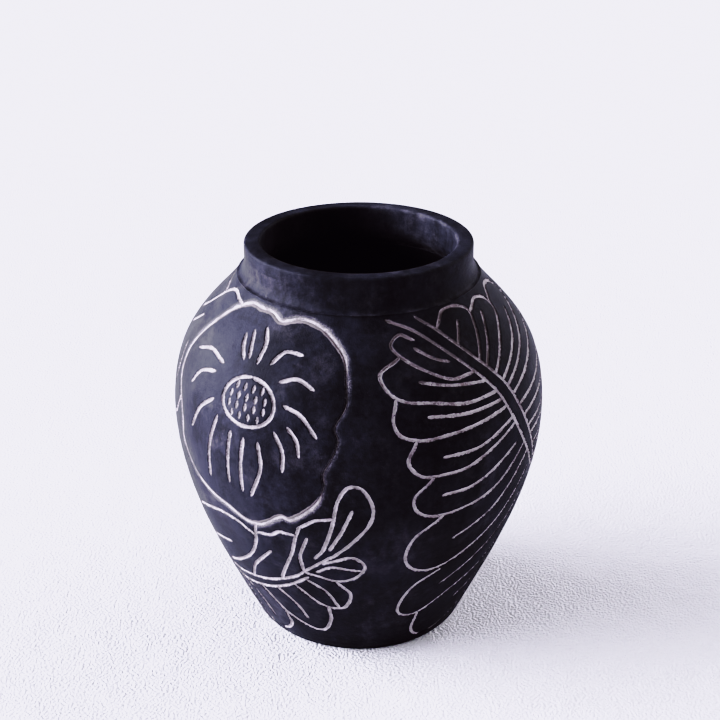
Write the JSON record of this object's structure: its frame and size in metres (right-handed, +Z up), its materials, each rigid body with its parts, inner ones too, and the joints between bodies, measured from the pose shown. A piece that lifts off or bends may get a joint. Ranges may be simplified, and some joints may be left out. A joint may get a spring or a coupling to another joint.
{
  "type": "clay pot",
  "caption": "Round-shouldered black clay pot with a short collar, carved with a flower, a leafy sprig and a fern in pale slip-filled lines.",
  "frame": {"origin": "centre of the foot, on the surface the pot stands on", "axes": "+Z up along the pot's axis, -Y towards the front between the flower and the fern"},
  "size_m": [0.17, 0.17, 0.186],
  "materials": {
    "black_clay": "matte",
    "pale_slip": "matte"
  },
  "bodies": {
    "root": {"base_slab": "black_clay", "foot_coil": "black_clay", "lower_wall": "black_clay", "belly_wall": "black_clay", "shoulder_wall": "black_clay", "neck_collar": "black_clay", "lip_coil": "black_clay", "flower_outline_slip": "pale_slip", "flower_petal_slip": "pale_slip", "flower_centre_slip": "pale_slip", "flower_seed_slip": "pale_slip", "sprig_stem_slip": "pale_slip", "sprig_leaf_slip": "pale_slip", "side_leaf_slip": "pale_slip", "fern_rib_slip": "pale_slip", "fern_left_leaflet_slip": "pale_slip", "fern_right_leaflet_slip": "pale_slip", "back_flower_outline_slip": "pale_slip", "back_flower_petal_slip": "pale_slip", "back_flower_centre_slip": "pale_slip", "back_flower_seed_slip": "pale_slip", "back_sprig_stem_slip": "pale_slip", "back_sprig_leaf_slip": "pale_slip", "back_fern_rib_slip": "pale_slip", "back_fern_left_leaflet_slip": "pale_slip", "back_fern_right_leaflet_slip": "pale_slip"}
  },
  "joints": []
}
